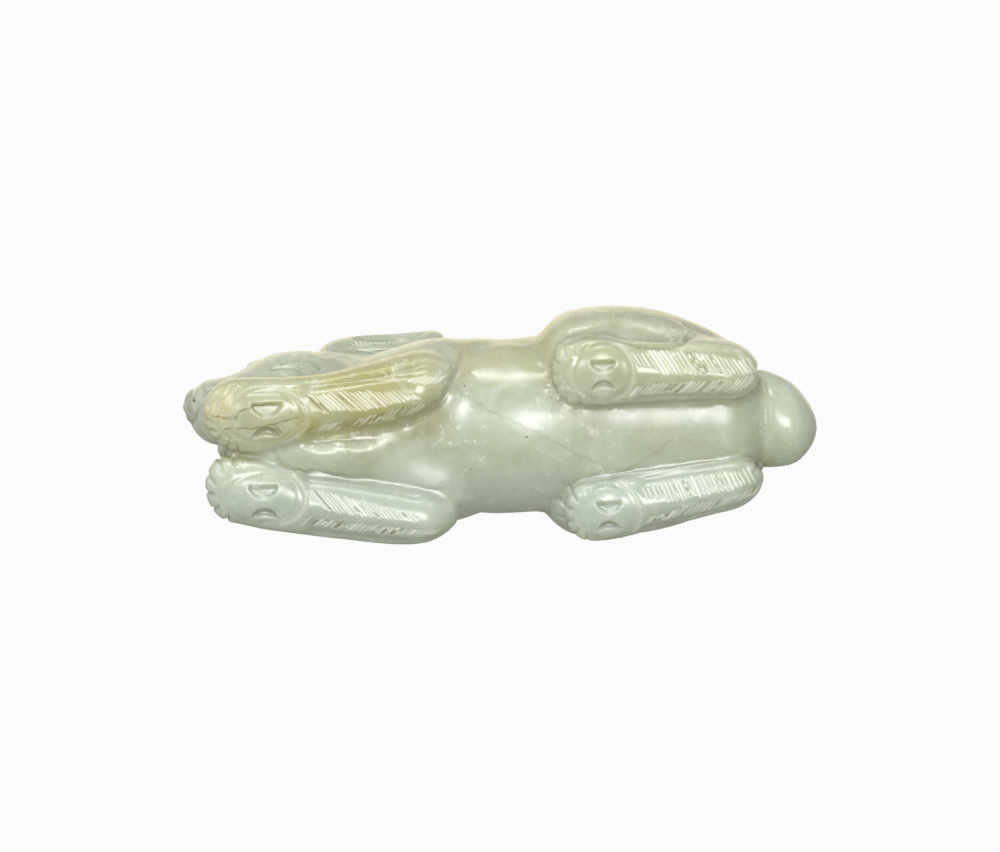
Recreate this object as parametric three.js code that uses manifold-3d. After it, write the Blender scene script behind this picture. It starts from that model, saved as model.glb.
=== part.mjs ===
// Recumbent bear carved from one pebble of pale nephrite jade.
// Millimetres, +Z up. The bear faces -Y, its left side is +X, and it rests on its paws at z = 0.
import * as THREE from "three";
import { mergeVertices } from "three/addons/utils/BufferGeometryUtils.js";
import Module from "manifold-3d";

const wasm = await Module();
wasm.setup();

// Driving dimensions
const LENGTH = 110;
const BODY_HALF_WIDTH = 15.2;
const HAUNCH_HALF_WIDTH = 19.9;
const BACK_HEIGHT = 29;
const WIDE_HEIGHT = 14.5;
const BELLY_HEIGHT = 3;
const LIMB_HEIGHT = 9.5;

// Places along the bear, from the nose at the front to the tail tip at the back
const NOSE_TIP = -LENGTH / 2;
const TAIL_TIP = LENGTH / 2;
const FORE_TOE = NOSE_TIP + 3.7;
const ELBOW = -7.5;
const HIND_TOE = 8.7;
const HEEL = 45.3;
const RUMP = 47;

// Sole pads: centre of each pad, half length along Y and half width along X
const FORE_PAD = { y: -41, length: 7.4, width: 5 };
const HIND_PAD = { y: 17.8, length: 5.5, width: 5.5 };
const PAD_DIP = 0.35;
const HEEL_DIP = 0.15;
const CARVED_DEPTH = 0.5;

// Value of one column at y, by a cubic through the stations
function columnAt(stations, column, y) {
  const last = stations.length - 1;
  let i = 0;
  while (i < last - 1 && y > stations[i + 1][0]) i += 1;
  const slope = (k) => {
    const a = stations[Math.max(k - 1, 0)];
    const b = stations[Math.min(k + 1, last)];
    return (b[column] - a[column]) / (b[0] - a[0]);
  };
  const step = stations[i + 1][0] - stations[i][0];
  const t = THREE.MathUtils.clamp((y - stations[i][0]) / step, 0, 1);
  const from = stations[i][column];
  const to = stations[i + 1][column];
  const bend = t * t * (3 - 2 * t);
  const startPull = t * (1 - t) * (1 - t) * step * slope(i);
  const endPull = t * t * (1 - t) * step * slope(i + 1);
  return from + (to - from) * bend + startPull - endPull;
}

// Ring positions along a form: close together on the rounded ends, even between them
function ringPlaces(front, back, frontCap, backCap, spacing) {
  const places = [];
  const endRings = back - front > 30 ? 4 : 3;
  for (let k = 1; k <= endRings; k += 1) {
    places.push(front + frontCap * (1 - Math.cos((k / endRings) * Math.PI / 2)));
  }
  const middle = back - backCap - front - frontCap;
  const count = Math.max(1, Math.round(middle / spacing));
  for (let k = 1; k < count; k += 1) {
    places.push(front + frontCap + (middle * k) / count);
  }
  for (let k = endRings; k >= 1; k -= 1) {
    places.push(back - backCap * (1 - Math.cos((k / endRings) * Math.PI / 2)));
  }
  return places;
}

// Closed rounded form along Y. A station is [y, x, half width, low z, widest z, high z].
// The form tapers to a rounded point over each cap, and `power` squares its cross-section.
function roundedForm(stations, frontCap, backCap, around, spacing, power = 2.3) {
  const front = stations[0][0];
  const back = stations[stations.length - 1][0];
  const places = ringPlaces(front, back, frontCap, backCap, spacing);
  const points = [];
  const faces = [];
  const rounding = (value) => Math.sign(value) * Math.abs(value) ** (2 / power);
  const centre = (y) => [columnAt(stations, 1, y), y, columnAt(stations, 4, y)];
  points.push(...centre(front));
  for (const y of places) {
    const near = Math.max(0, (front + frontCap - y) / frontCap, (y - back + backCap) / backCap);
    const shrink = Math.sqrt(1 - near * near);
    const [x, , wide] = centre(y);
    const half = columnAt(stations, 2, y) * shrink;
    const below = (wide - columnAt(stations, 3, y)) * shrink;
    const above = (columnAt(stations, 5, y) - wide) * shrink;
    for (let k = 0; k < around; k += 1) {
      const angle = ((k + 0.5) / around) * 2 * Math.PI;
      const up = rounding(Math.sin(angle));
      points.push(x + half * rounding(Math.cos(angle)), y, wide + up * (up < 0 ? below : above));
    }
  }
  points.push(...centre(back));
  const lastPoint = points.length / 3 - 1;
  for (let k = 0; k < around; k += 1) {
    const next = (k + 1) % around;
    faces.push(0, 1 + k, 1 + next);
    for (let ring = 0; ring < places.length - 1; ring += 1) {
      const a = 1 + ring * around;
      const b = a + around;
      faces.push(a + k, b + k, b + next, a + k, b + next, a + next);
    }
    const end = 1 + (places.length - 1) * around;
    faces.push(lastPoint, end + next, end + k);
  }
  return solidOf(points, faces);
}

// Manifold solid of a closed triangle list
function solidOf(points, faces) {
  const vertProperties = new Float32Array(points);
  const triVerts = new Uint32Array(faces);
  return new wasm.Manifold(new wasm.Mesh({ numProp: 3, vertProperties, triVerts }));
}

// Manifold solid of a three.js geometry, after it is turned and moved
function solidFrom(geometry, place, turn = [0, 0, 0]) {
  geometry.deleteAttribute("normal");
  geometry.deleteAttribute("uv");
  const merged = mergeVertices(geometry, 1e-4);
  merged.applyMatrix4(new THREE.Matrix4().makeRotationFromEuler(new THREE.Euler(...turn)));
  merged.translate(...place);
  return solidOf(merged.attributes.position.array, merged.index.array);
}

// Ellipsoid with the given half sizes
function pebble(place, halves, turn = [0, 0, 0], segments = 10) {
  const ball = new THREE.SphereGeometry(1, segments, Math.round(segments * 0.6));
  ball.rotateX(Math.PI / 2);
  ball.scale(...halves);
  return solidFrom(ball, place, turn);
}

function torso() {
  const half = BODY_HALF_WIDTH;
  const back = BACK_HEIGHT;
  return roundedForm([
    [-40, 0.5, half - 6, BELLY_HEIGHT + 0.6, WIDE_HEIGHT, back - 6],
    [-30, 0.3, half - 4.6, BELLY_HEIGHT + 0.3, WIDE_HEIGHT, back - 1.5],
    [-15, 0, half - 0.9, BELLY_HEIGHT + 0.5, WIDE_HEIGHT, back],
    [-7, 0, half, BELLY_HEIGHT - 0.2, WIDE_HEIGHT, back],
    [5, 0, half, BELLY_HEIGHT - 1.5, WIDE_HEIGHT, back - 0.4],
    [20, 0, half, BELLY_HEIGHT + 0.1, WIDE_HEIGHT, back + 2],
    [33, 0, half - 1.2, BELLY_HEIGHT + 0.3, WIDE_HEIGHT, back + 1],
    [RUMP, 0, half - 3.2, BELLY_HEIGHT + 2, WIDE_HEIGHT, back - 5],
  ], 13, 12, 25, 5.2, 2.2);
}

// Chin and breast that fill the space between the forelegs
function chin() {
  return pebble([-0.2, -32, 8.2], [7, 17, 6.5], [0, 0, 0], 14);
}

// Seat that ends the belly in front of the tail
function seat() {
  return pebble([0.4, 40.4, 9.4], [9, 5.8, 5.9], [0, 0, 0], 14);
}

function head() {
  const skull = roundedForm([
    [-47.5, 2.7, 9.3, 11, 18.5, 28],
    [-41, 2.1, 10.1, 9.5, 19, 31],
    [-35, 1.5, 11, 8.5, 20.5, 33.5],
    [-27, 1.1, 11.2, 8.5, 20.5, 34],
    [-14, 0.5, 10.5, 9, 19, 31],
  ], 8, 9, 20, 3.8, 2.2);
  const muzzle = roundedForm([
    [NOSE_TIP + 0.9, 4, 4.9, 13.6, 18.6, 22.6],
    [-49.5, 3.8, 5.6, 11.6, 18.2, 24.2],
    [-44, 3.1, 6.8, 10, 18, 26.5],
    [-36, 2, 8, 9, 18, 28],
  ], 4, 4, 18, 3, 2.2);
  const nose = pebble([4.4, NOSE_TIP + 2, 20.3], [3.1, 2, 2.4], [0.35, 0, 0.1], 12);
  return [skull, muzzle.subtract(mouth(muzzle)), nose];
}

// Brow, cheek curl and laid-back ear of one side; side is 1 for the bear's left
function faceSide(side) {
  const across = (offset) => 1.6 + side * offset;
  const cheek = roundedForm([
    [-43, across(6), 3.6, 14, 20.5, 25],
    [-38, across(7.2), 3.8, 13.4, 21.5, 26.6],
    [-30, across(7), 4, 14.4, 22, 27],
  ], 4.5, 4.5, 14, 3, 2.1);
  const brow = roundedForm([
    [-45.5, across(4.6), 2.4, 24.4, 26.8, 28.8],
    [-40, across(6), 2.6, 26, 28.4, 31.2],
    [-33, across(6.6), 2.4, 27, 29.4, 32],
  ], 3, 3.5, 12, 3.4, 2.1);
  const ear = roundedForm([
    [-31.5, across(8.2), 2.2, 25, 28.4, 31.6],
    [-26, across(9.2), 2.4, 24.2, 28.6, 32.6],
    [-17, across(9.6), 2.2, 24, 28.6, 32.8],
    [-8.8, across(10.4), 2, 25, 28.4, 31.6],
  ], 2.8, 2.6, 14, 3.6, 2.4);
  const hollow = pebble([across(12.4), -18, 28.4], [1.4, 6.5, 2.1], [0, 0, -side * 0.06], 10);
  const eye = pebble([across(7.8) + 0.4, -42, 24.4], [1.3, 2, 1.2], [0, 0, -side * 0.3], 10);
  return [cheek, brow, ear.subtract(hollow), eye];
}

// Forearm with its paw; the stations follow each side of the carving, which isn't quite even
const FORELEGS = {
  left: [
    [FORE_TOE + 0.4, 7, 6.3, 0.7, 3.8, 7.2],
    [-47, 6.9, 6.3, 0.3, 4, 8.4],
    [-41.5, 6.5, 6.5, 0.3, 4.2, LIMB_HEIGHT],
    [-35.5, 7, 5.8, 0.3, 4.6, LIMB_HEIGHT],
    [-29, 7.8, 5.2, 0.4, 5, LIMB_HEIGHT + 1],
    [-17, 9.6, 5.8, 0.2, 5.6, LIMB_HEIGHT + 2.5],
    [ELBOW, 12.2, 4.8, -HEEL_DIP, 6, LIMB_HEIGHT + 3],
  ],
  right: [
    [FORE_TOE + 0.4, -5.9, 6, 0.7, 3.8, 7.2],
    [-47, -6.2, 6, 0.3, 4, 8.4],
    [-41.5, -7.3, 6.4, 0.3, 4.2, LIMB_HEIGHT],
    [-35.5, -9.1, 5.8, 0.3, 4.6, LIMB_HEIGHT],
    [-29, -10.2, 5.9, 0.4, 5, LIMB_HEIGHT + 1],
    [-17, -12.2, 5.6, 0.2, 5.6, LIMB_HEIGHT + 2.5],
    [ELBOW, -12.6, 4.2, -HEEL_DIP, 6, LIMB_HEIGHT + 3],
  ],
};

// Hind foot with its shank, along the ground
const HIND_LEGS = {
  left: [
    [HIND_TOE + 0.7, 12.2, 5.6, 0.7, 3.8, 7.4],
    [13, 12.1, 5.9, 0.3, 4, 8.6],
    [18, 12, 6.2, 0.3, 4.2, LIMB_HEIGHT],
    [23.5, 11.6, 5.7, 0.3, 4.6, LIMB_HEIGHT + 1],
    [34, 11.1, 5.2, 0.2, 5.2, LIMB_HEIGHT + 2],
    [40.5, 10.5, 4.9, 0, 5.6, LIMB_HEIGHT + 2],
    [HEEL, 9.9, 4.6, -HEEL_DIP, 5.8, LIMB_HEIGHT + 1],
  ],
  right: [
    [HIND_TOE + 2, -13, 5.2, 0.7, 3.8, 7.4],
    [14, -13, 5.5, 0.3, 4, 8.6],
    [18.4, -12.9, 5.7, 0.3, 4.2, LIMB_HEIGHT],
    [24.3, -12, 5.5, 0.3, 4.6, LIMB_HEIGHT + 1],
    [34.5, -10.2, 4.9, 0.2, 5.2, LIMB_HEIGHT + 2],
    [41, -9.3, 4.5, 0, 5.6, LIMB_HEIGHT + 2],
    [HEEL, -8.8, 4.2, -HEEL_DIP, 5.8, LIMB_HEIGHT + 1],
  ],
};

function foreleg(name) {
  return roundedForm(FORELEGS[name], name === "left" ? 6 : 4.6, 7, 18, 4.4, 2.5);
}

function hindLeg(name) {
  return roundedForm(HIND_LEGS[name], 3.8, 6, 18, 4.4, 2.5);
}

function shoulder(side) {
  return roundedForm([
    [-26, side * 5.6, 6, 5, 13, 21],
    [-19, side * 6.8, 6.2, 4, 13, 22.5],
    [-12, side * 8.6, 6.6, 3, 12.5, 22],
    [-4.5, side * 9.6, 6, 3.5, 12, 19],
  ], 7, 6, 16, 4, 2.2);
}

// Teardrop thigh, full in front and drawn out towards the rump
function haunch(side) {
  const outer = HAUNCH_HALF_WIDTH;
  const at = (half, inset) => side * (outer - inset - half);
  return roundedForm([
    [6.2, at(6.6, 1.6), 6.6, 4, 14, 23],
    [13, at(8, 0.4), 8, 3.2, 14.2, 26],
    [20, at(8.4, 0), 8.4, 3, 14.4, 27.4],
    [28, at(8.2, 1), 8.2, 3, 14, 27],
    [35.5, at(7.2, 3.6), 7.2, 3.4, 12.6, 24],
    [45.5, at(6, 8.6), 6, 4, 10.6, 18],
  ], 7, 8, 20, 3.6, 2.2);
}

function tail() {
  return roundedForm([
    [40, 0.4, 8, 6, 11.8, 19],
    [46, 0, 8.5, 4.9, 11.4, 19],
    [50.4, -0.7, 7.3, 4.1, 11, 17.8],
    [TAIL_TIP, -1.4, 5.2, 4.6, 10.6, 16],
  ], 3, 5, 18, 2.4, 2.1);
}

// Knuckled toes fanned round the front of a paw
function toes(tip, centre, half, reach) {
  const count = 5;
  const parts = [];
  for (let k = 0; k < count; k += 1) {
    const angle = ((k - (count - 1) / 2) / (count - 1)) * 2;
    const place = [
      centre + (half - 1.7) * Math.sin(angle),
      tip + reach - (reach - 2.3) * Math.cos(angle),
      3,
    ];
    parts.push(pebble(place, [half * 0.28, 2.7, 2.7], [0, 0, angle * 0.8], 7));
  }
  return parts;
}

// Sole pad: a low dome under the paw
function solePad(x, pad) {
  return pebble([x, pad.y, 1.6], [pad.width, pad.length, 1.6 + PAD_DIP], [0, 0, 0], 14);
}

// Crescent cut: a half-moon prism, straight side towards +X, `bend` hollows that side
function crescent(x, y, length, width, bend) {
  const half = length / 2;
  const shape = new THREE.Shape();
  shape.moveTo(-half, 0);
  shape.quadraticCurveTo(-half * 0.8, -width * 1.15, 0, -width);
  shape.quadraticCurveTo(half * 0.8, -width * 1.15, half, 0);
  shape.quadraticCurveTo(0, bend, -half, 0);
  const prism = new THREE.ExtrudeGeometry(shape, { depth: 2, bevelEnabled: false, curveSegments: 3 });
  return solidFrom(prism, [x, y, CARVED_DEPTH - 2], [0, 0, -Math.PI / 2]);
}

// Arc groove behind a sole pad, where the paw ends at the wrist or ankle
function wristGroove(x, pad, reach, spread) {
  const width = 0.45;
  const outer = pad.length + reach;
  const shape = new THREE.Shape();
  shape.absarc(0, 0, outer, Math.PI / 2 - spread, Math.PI / 2 + spread, false);
  shape.absarc(0, 0, outer - width, Math.PI / 2 + spread, Math.PI / 2 - spread, true);
  const band = new THREE.ExtrudeGeometry(shape, { depth: 3, bevelEnabled: false, curveSegments: 5 });
  return solidFrom(band, [x, pad.y, CARVED_DEPTH + 0.35 - 3]);
}

// Paired half-moons of one sole: a straight-sided one above an arched one
function halfMoons(x, pad, size, forward) {
  return [
    crescent(x + size * 0.52, pad.y + forward, size, size * 0.5, 0),
    crescent(x - size * 0.72, pad.y + forward * 0.9, size * 0.92, -size * 0.44, size * 0.2),
  ];
}

// Mouth line: a thin shell round the muzzle at one level
function mouth(muzzle) {
  const level = 14.9;
  const slab = pebble([3.4, -47, level], [9, 9.5, 0.42], [0.06, 0, 0], 14);
  const core = muzzle.translate([-3.4, 46, -18]).scale([0.91, 0.93, 1]).translate([3.4, -46, 18]);
  return slab.subtract(core);
}

const LEFT_FORE_PAD = 7;
const RIGHT_FORE_PAD = -7.5;
const LEFT_HIND_PAD = 12.2;
const RIGHT_HIND_PAD = -12.8;

function joinAll(parts) {
  return parts.reduce((whole, part) => whole.add(part));
}

const forms = [
  torso(),
  chin(),
  seat(),
  ...head(),
  ...faceSide(1),
  ...faceSide(-1),
  shoulder(1),
  shoulder(-1),
  foreleg("left"),
  foreleg("right"),
  haunch(1),
  haunch(-1),
  hindLeg("left"),
  hindLeg("right"),
  tail(),
  ...toes(FORE_TOE, 6.8, 6.2, 6.5),
  ...toes(FORE_TOE, -6.1, 5.9, 4.8),
  ...toes(HIND_TOE, 12.2, 5.8, 4.6),
  ...toes(HIND_TOE + 1.3, -13, 5.4, 4.4),
  solePad(LEFT_FORE_PAD, FORE_PAD),
  solePad(RIGHT_FORE_PAD, FORE_PAD),
  solePad(LEFT_HIND_PAD, HIND_PAD),
  solePad(RIGHT_HIND_PAD, HIND_PAD),
];

const ground = solidFrom(new THREE.BoxGeometry(3 * LENGTH, 3 * LENGTH, 20), [0, 0, -10]);
const carving = [
  ...halfMoons(LEFT_FORE_PAD, FORE_PAD, 5.3, 1),
  ...halfMoons(RIGHT_FORE_PAD, FORE_PAD, 5, -0.3),
  ...halfMoons(LEFT_HIND_PAD, HIND_PAD, 4.3, 0.2),
  ...halfMoons(RIGHT_HIND_PAD, HIND_PAD, 4.3, 0.3),
  wristGroove(LEFT_FORE_PAD, FORE_PAD, -0.5, 0.55),
  wristGroove(RIGHT_FORE_PAD, FORE_PAD, -0.5, 0.55),
  wristGroove(LEFT_HIND_PAD, HIND_PAD, 0.05, 0.85),
  wristGroove(RIGHT_HIND_PAD, HIND_PAD, 0.05, 0.85),
];
const bear = joinAll(forms).subtract(joinAll([ground, ...carving]));

const mesh = bear.getMesh();
const geometry = new THREE.BufferGeometry();
geometry.setAttribute("position", new THREE.BufferAttribute(new Float32Array(mesh.vertProperties), 3));
geometry.setIndex(new THREE.BufferAttribute(new Uint32Array(mesh.triVerts), 1));
geometry.computeVertexNormals();

const jade = new THREE.MeshStandardMaterial({ color: 0xc9cdb4, roughness: 0.18, metalness: 0 });
const bearMesh = new THREE.Mesh(geometry, jade);
bearMesh.name = "jade_bear";

const group = new THREE.Group();
group.name = "jade_bear_carving";
group.add(bearMesh);

export default group;
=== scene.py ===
import math

import bmesh
import bpy
import numpy as np
from mathutils import Matrix, Vector


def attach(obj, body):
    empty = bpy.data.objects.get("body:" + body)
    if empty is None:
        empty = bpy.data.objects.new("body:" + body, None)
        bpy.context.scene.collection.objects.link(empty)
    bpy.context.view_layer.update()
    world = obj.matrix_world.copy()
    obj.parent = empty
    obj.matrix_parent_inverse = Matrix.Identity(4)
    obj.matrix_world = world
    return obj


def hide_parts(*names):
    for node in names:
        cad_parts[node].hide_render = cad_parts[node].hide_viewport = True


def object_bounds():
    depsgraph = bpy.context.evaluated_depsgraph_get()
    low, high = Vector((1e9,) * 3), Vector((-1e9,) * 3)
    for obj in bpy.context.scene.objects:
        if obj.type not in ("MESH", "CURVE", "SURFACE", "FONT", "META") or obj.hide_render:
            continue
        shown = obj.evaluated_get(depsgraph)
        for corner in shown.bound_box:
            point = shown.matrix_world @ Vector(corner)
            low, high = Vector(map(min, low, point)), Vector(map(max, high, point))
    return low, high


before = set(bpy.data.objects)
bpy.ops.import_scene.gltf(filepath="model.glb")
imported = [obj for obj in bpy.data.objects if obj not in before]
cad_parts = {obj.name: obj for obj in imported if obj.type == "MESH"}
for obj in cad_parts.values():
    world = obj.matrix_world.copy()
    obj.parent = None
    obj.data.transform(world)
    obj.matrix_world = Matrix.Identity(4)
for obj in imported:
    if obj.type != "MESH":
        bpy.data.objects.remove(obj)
cad_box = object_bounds()

# The bear is one pebble of pale nephrite, roughed out with wheels, then polished all over.
# Its forms repeat the solid's rounded forms, joined softly as a wheel leaves them, and the sole pads,
# half-moons, toes and fur strokes are cut into the same skin.
MM = 0.001
LENGTH = (cad_box[1][1] - cad_box[0][1]) / MM
NOSE_TIP = -LENGTH / 2
TAIL_TIP = LENGTH / 2
BODY_HALF_WIDTH = 15.2
HAUNCH_HALF_WIDTH = (cad_box[1][0] - cad_box[0][0]) / MM / 2 + 0.1
BACK_HEIGHT = 29
WIDE_HEIGHT = 14.5
BELLY_HEIGHT = 3
LIMB_HEIGHT = 9.5
FORE_TOE = NOSE_TIP + 3.7
ELBOW = -7.5
HIND_TOE = 8.7
HEEL = 45.3
RUMP = 47
HEEL_DIP = 0.15
FLOOR_SKIN = 0.02
TILT = math.radians(15)


def column_curve(stations, column, places):
    """One column of the stations at many places, by a cubic through them."""
    table = np.array(stations, float)
    y, value = table[:, 0], table[:, column]
    slope = np.gradient(value, y)
    slope[1:-1] = (value[2:] - value[:-2]) / (y[2:] - y[:-2])
    i = np.clip(np.searchsorted(y, places) - 1, 0, len(y) - 2)
    gap = y[i + 1] - y[i]
    t = np.clip((places - y[i]) / gap, 0, 1)
    bend = t * t * (3 - 2 * t)
    pull = t * (1 - t) ** 2 * slope[i] - t * t * (1 - t) * slope[i + 1]
    return value[i] + (value[i + 1] - value[i]) * bend + pull * gap


CURVE_PLACES = 300


def rounded_form(stations, front_cap, back_cap, power=2.3):
    """Rounded form along Y: its box, and the distance in mm of points from its surface.

    A station is y, middle x, half width, low z, widest z and high z. The power squares the section.
    """
    front, back = stations[0][0], stations[-1][0]
    places = np.linspace(front, back, CURVE_PLACES)
    x0, half, low, wide, high = (column_curve(stations, c, places) for c in range(1, 6))

    def distance(p):
        y = np.clip(p[:, 1], front, back)
        here = [np.interp(y, places, c) for c in (x0, half, low, wide, high)]
        across = np.abs(p[:, 0] - here[0]) / here[1]
        up = p[:, 2] - here[3]
        rise = np.abs(up) / np.where(up < 0, here[3] - here[2], here[4] - here[3])
        ring = (across ** power + rise ** power) ** (1 / power)
        front_near = (front + front_cap - p[:, 1]) / front_cap
        back_near = (p[:, 1] - back + back_cap) / back_cap
        near = np.maximum(0, np.maximum(front_near, back_near))
        size = np.minimum(here[1], (here[4] - here[2]) / 2)
        return (np.sqrt(ring ** 2 + near ** 2) - 1) * size

    lowest = np.array([(x0 - half).min(), front, low.min()])
    highest = np.array([(x0 + half).max(), back, high.max()])
    return lowest, highest, distance


def pebble(place, halves, turn_z=0.0, turn_x=0.0):
    """Ellipsoid with the given half sizes, turned about Z or X: its box and its distance in mm."""
    place = np.array(place, float)
    halves = np.array(halves, float)
    turn = np.array(Matrix.Rotation(turn_x, 3, "X") @ Matrix.Rotation(turn_z, 3, "Z"))

    def distance(p):
        local = (p - place) @ turn
        k0 = np.linalg.norm(local / halves, axis=1)
        k1 = np.linalg.norm(local / halves ** 2, axis=1) + 1e-9
        return k0 * (k0 - 1) / k1

    reach = halves.max()
    return place - reach, place + reach, distance


def head_forms():
    """Skull, muzzle and nose, turned a little to the bear's left; each form comes with its soft join."""
    skull = rounded_form([
        (-47.5, 2.7, 9.3, 11, 18.5, 28),
        (-41, 2.1, 10.1, 9.5, 19, 31),
        (-35, 1.5, 11, 8.5, 20.5, 33.5),
        (-27, 1.1, 11.2, 8.5, 20.5, 34),
        (-14, 0.5, 10.5, 9, 19, 31),
    ], 8, 9, 2.2)
    muzzle = rounded_form([
        (NOSE_TIP + 0.9, 4, 4.9, 13.6, 18.6, 22.6),
        (-49.5, 3.8, 5.6, 11.6, 18.2, 24.2),
        (-44, 3.1, 6.8, 10, 18, 26.5),
        (-36, 2, 8, 9, 18, 28),
    ], 4, 4, 2.2)
    nose = pebble((4.4, NOSE_TIP + 2, 20.3), (3.1, 2, 2.4), 0.1, 0.35)
    return [(skull, 1.5), (muzzle, 2.5), (nose, 0.8)]


FACE_MIDDLE = 1.6
EYE_Y = -42
EYE_HEIGHT = 24.4


def face_side_forms(side):
    """Brow, cheek, eye and laid-back ear; side is 1 for the bear's left."""
    def across(offset):
        return FACE_MIDDLE + side * offset

    cheek = rounded_form([
        (-43, across(6), 3.6, 14, 20.5, 25),
        (-38, across(7.2), 3.8, 13.4, 21.5, 26.6),
        (-30, across(7), 4, 14.4, 22, 27),
    ], 4.5, 4.5, 2.1)
    brow = rounded_form([
        (-45.5, across(4.6), 2.4, 24.4, 26.8, 28.8),
        (-40, across(6), 2.6, 26, 28.4, 31.2),
        (-33, across(6.6), 2.4, 27, 29.4, 32),
    ], 3, 3.5, 2.1)
    ear = rounded_form([
        (-31.5, across(8.2), 2.2, 25, 28.4, 31.6),
        (-26, across(9.2), 2.4, 24.2, 28.6, 32.6),
        (-17, across(9.6), 2.2, 24, 28.6, 32.8),
        (-8.8, across(10.4), 2, 25, 28.4, 31.6),
    ], 2.8, 2.6, 2.4)
    eye = pebble((across(7.8) + 0.4, EYE_Y, EYE_HEIGHT), (1.3, 2, 1.2), -side * 0.3)
    return [(cheek, 1.2), (brow, 0.7), (ear, 0.5), (eye, 0.2)]


def body_forms():
    """Trunk, the chin and breast between the forelegs, the seat that ends the belly, and the tail."""
    half, back = BODY_HALF_WIDTH, BACK_HEIGHT
    torso = rounded_form([
        (-40, 0.5, half - 6, BELLY_HEIGHT + 0.6, WIDE_HEIGHT, back - 6),
        (-30, 0.3, half - 4.6, BELLY_HEIGHT + 0.3, WIDE_HEIGHT, back - 1.5),
        (-15, 0, half - 0.9, BELLY_HEIGHT + 0.5, WIDE_HEIGHT, back),
        (-7, 0, half, BELLY_HEIGHT - 0.2, WIDE_HEIGHT, back),
        (5, 0, half, BELLY_HEIGHT - 1.5, WIDE_HEIGHT, back - 0.4),
        (20, 0, half, BELLY_HEIGHT + 0.1, WIDE_HEIGHT, back + 2),
        (33, 0, half - 1.2, BELLY_HEIGHT + 0.3, WIDE_HEIGHT, back + 1),
        (RUMP, 0, half - 3.2, BELLY_HEIGHT + 2, WIDE_HEIGHT, back - 5),
    ], 13, 12, 2.2)
    tail = rounded_form([
        (40, 0.4, 8, 6, 11.8, 19),
        (46, 0, 8.5, 4.9, 11.4, 19),
        (50.4, -0.7, 7.3, 4.1, 11, 17.8),
        (TAIL_TIP, -1.4, 5.2, 4.6, 10.6, 16),
    ], 3, 5, 2.1)
    chin = pebble((-0.2, -32, 8.2), (7, 17, 6.5))
    seat = pebble((0.4, 40.4, 9.4), (9, 5.8, 5.9))
    return [(torso, 1), (chin, 4), (seat, 4), (tail, 0.4)]


def upper_leg_forms(side):
    """Shoulder, and the teardrop thigh that is full in front and drawn out to the rump."""
    shoulder = rounded_form([
        (-26, side * 5.6, 6, 5, 13, 21),
        (-19, side * 6.8, 6.2, 4, 13, 22.5),
        (-12, side * 8.6, 6.6, 3, 12.5, 22),
        (-4.5, side * 9.6, 6, 3.5, 12, 19),
    ], 7, 6, 2.2)

    def at(half, inset):
        return side * (HAUNCH_HALF_WIDTH - inset - half)

    thigh = rounded_form([
        (6.2, at(6.6, 1.6), 6.6, 4, 14, 23),
        (13, at(8, 0.4), 8, 3.2, 14.2, 26),
        (20, at(8.4, 0), 8.4, 3, 14.4, 27.4),
        (28, at(8.2, 1), 8.2, 3, 14, 27),
        (35.5, at(7.2, 3.6), 7.2, 3.4, 12.6, 24),
        (45.5, at(6, 8.6), 6, 4, 10.6, 18),
    ], 7, 8, 2.2)
    return [(shoulder, 3), (thigh, 0.7)]


# The legs lie along the ground, and the two of a pair aren't quite even.
LEFT_FORELEG = [
    (FORE_TOE + 0.4, 7, 6.3, 0.7, 3.8, 7.2),
    (-47, 6.9, 6.3, 0.3, 4, 8.4),
    (-41.5, 6.5, 6.5, 0.3, 4.2, LIMB_HEIGHT),
    (-35.5, 7, 5.8, 0.3, 4.6, LIMB_HEIGHT),
    (-29, 7.8, 5.2, 0.4, 5, LIMB_HEIGHT + 1),
    (-17, 9.6, 5.8, 0.2, 5.6, LIMB_HEIGHT + 2.5),
    (ELBOW, 12.2, 4.8, -HEEL_DIP, 6, LIMB_HEIGHT + 3),
]
RIGHT_FORELEG = [
    (FORE_TOE + 0.1, -5.9, 6, 0.7, 3.8, 7.2),
    (-47, -6.2, 6, 0.3, 4, 8.4),
    (-41.5, -7.3, 6.4, 0.3, 4.2, LIMB_HEIGHT),
    (-35.5, -9.1, 5.8, 0.3, 4.6, LIMB_HEIGHT),
    (-29, -10.2, 5.9, 0.4, 5, LIMB_HEIGHT + 1),
    (-17, -12.2, 5.6, 0.2, 5.6, LIMB_HEIGHT + 2.5),
    (ELBOW, -12.6, 4.2, -HEEL_DIP, 6, LIMB_HEIGHT + 3),
]
LEFT_HIND_LEG = [
    (HIND_TOE + 0.7, 12.2, 5.6, 0.7, 3.8, 7.4),
    (13, 12.1, 5.9, 0.3, 4, 8.6),
    (18, 12, 6.2, 0.3, 4.2, LIMB_HEIGHT),
    (23.5, 11.6, 5.7, 0.3, 4.6, LIMB_HEIGHT + 1),
    (34, 11.1, 5.2, 0.2, 5.2, LIMB_HEIGHT + 2),
    (40.5, 10.5, 4.9, 0, 5.6, LIMB_HEIGHT + 2),
    (HEEL, 9.9, 4.6, -HEEL_DIP, 5.8, LIMB_HEIGHT + 1),
]
RIGHT_HIND_LEG = [
    (HIND_TOE + 2, -13, 5.2, 0.7, 3.8, 7.4),
    (14, -13, 5.5, 0.3, 4, 8.6),
    (18.4, -12.9, 5.7, 0.3, 4.2, LIMB_HEIGHT),
    (24.3, -12, 5.5, 0.3, 4.6, LIMB_HEIGHT + 1),
    (34.5, -10.2, 4.9, 0.2, 5.2, LIMB_HEIGHT + 2),
    (41, -9.3, 4.5, 0, 5.6, LIMB_HEIGHT + 2),
    (HEEL, -8.8, 4.2, -HEEL_DIP, 5.8, LIMB_HEIGHT + 1),
]


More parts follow.
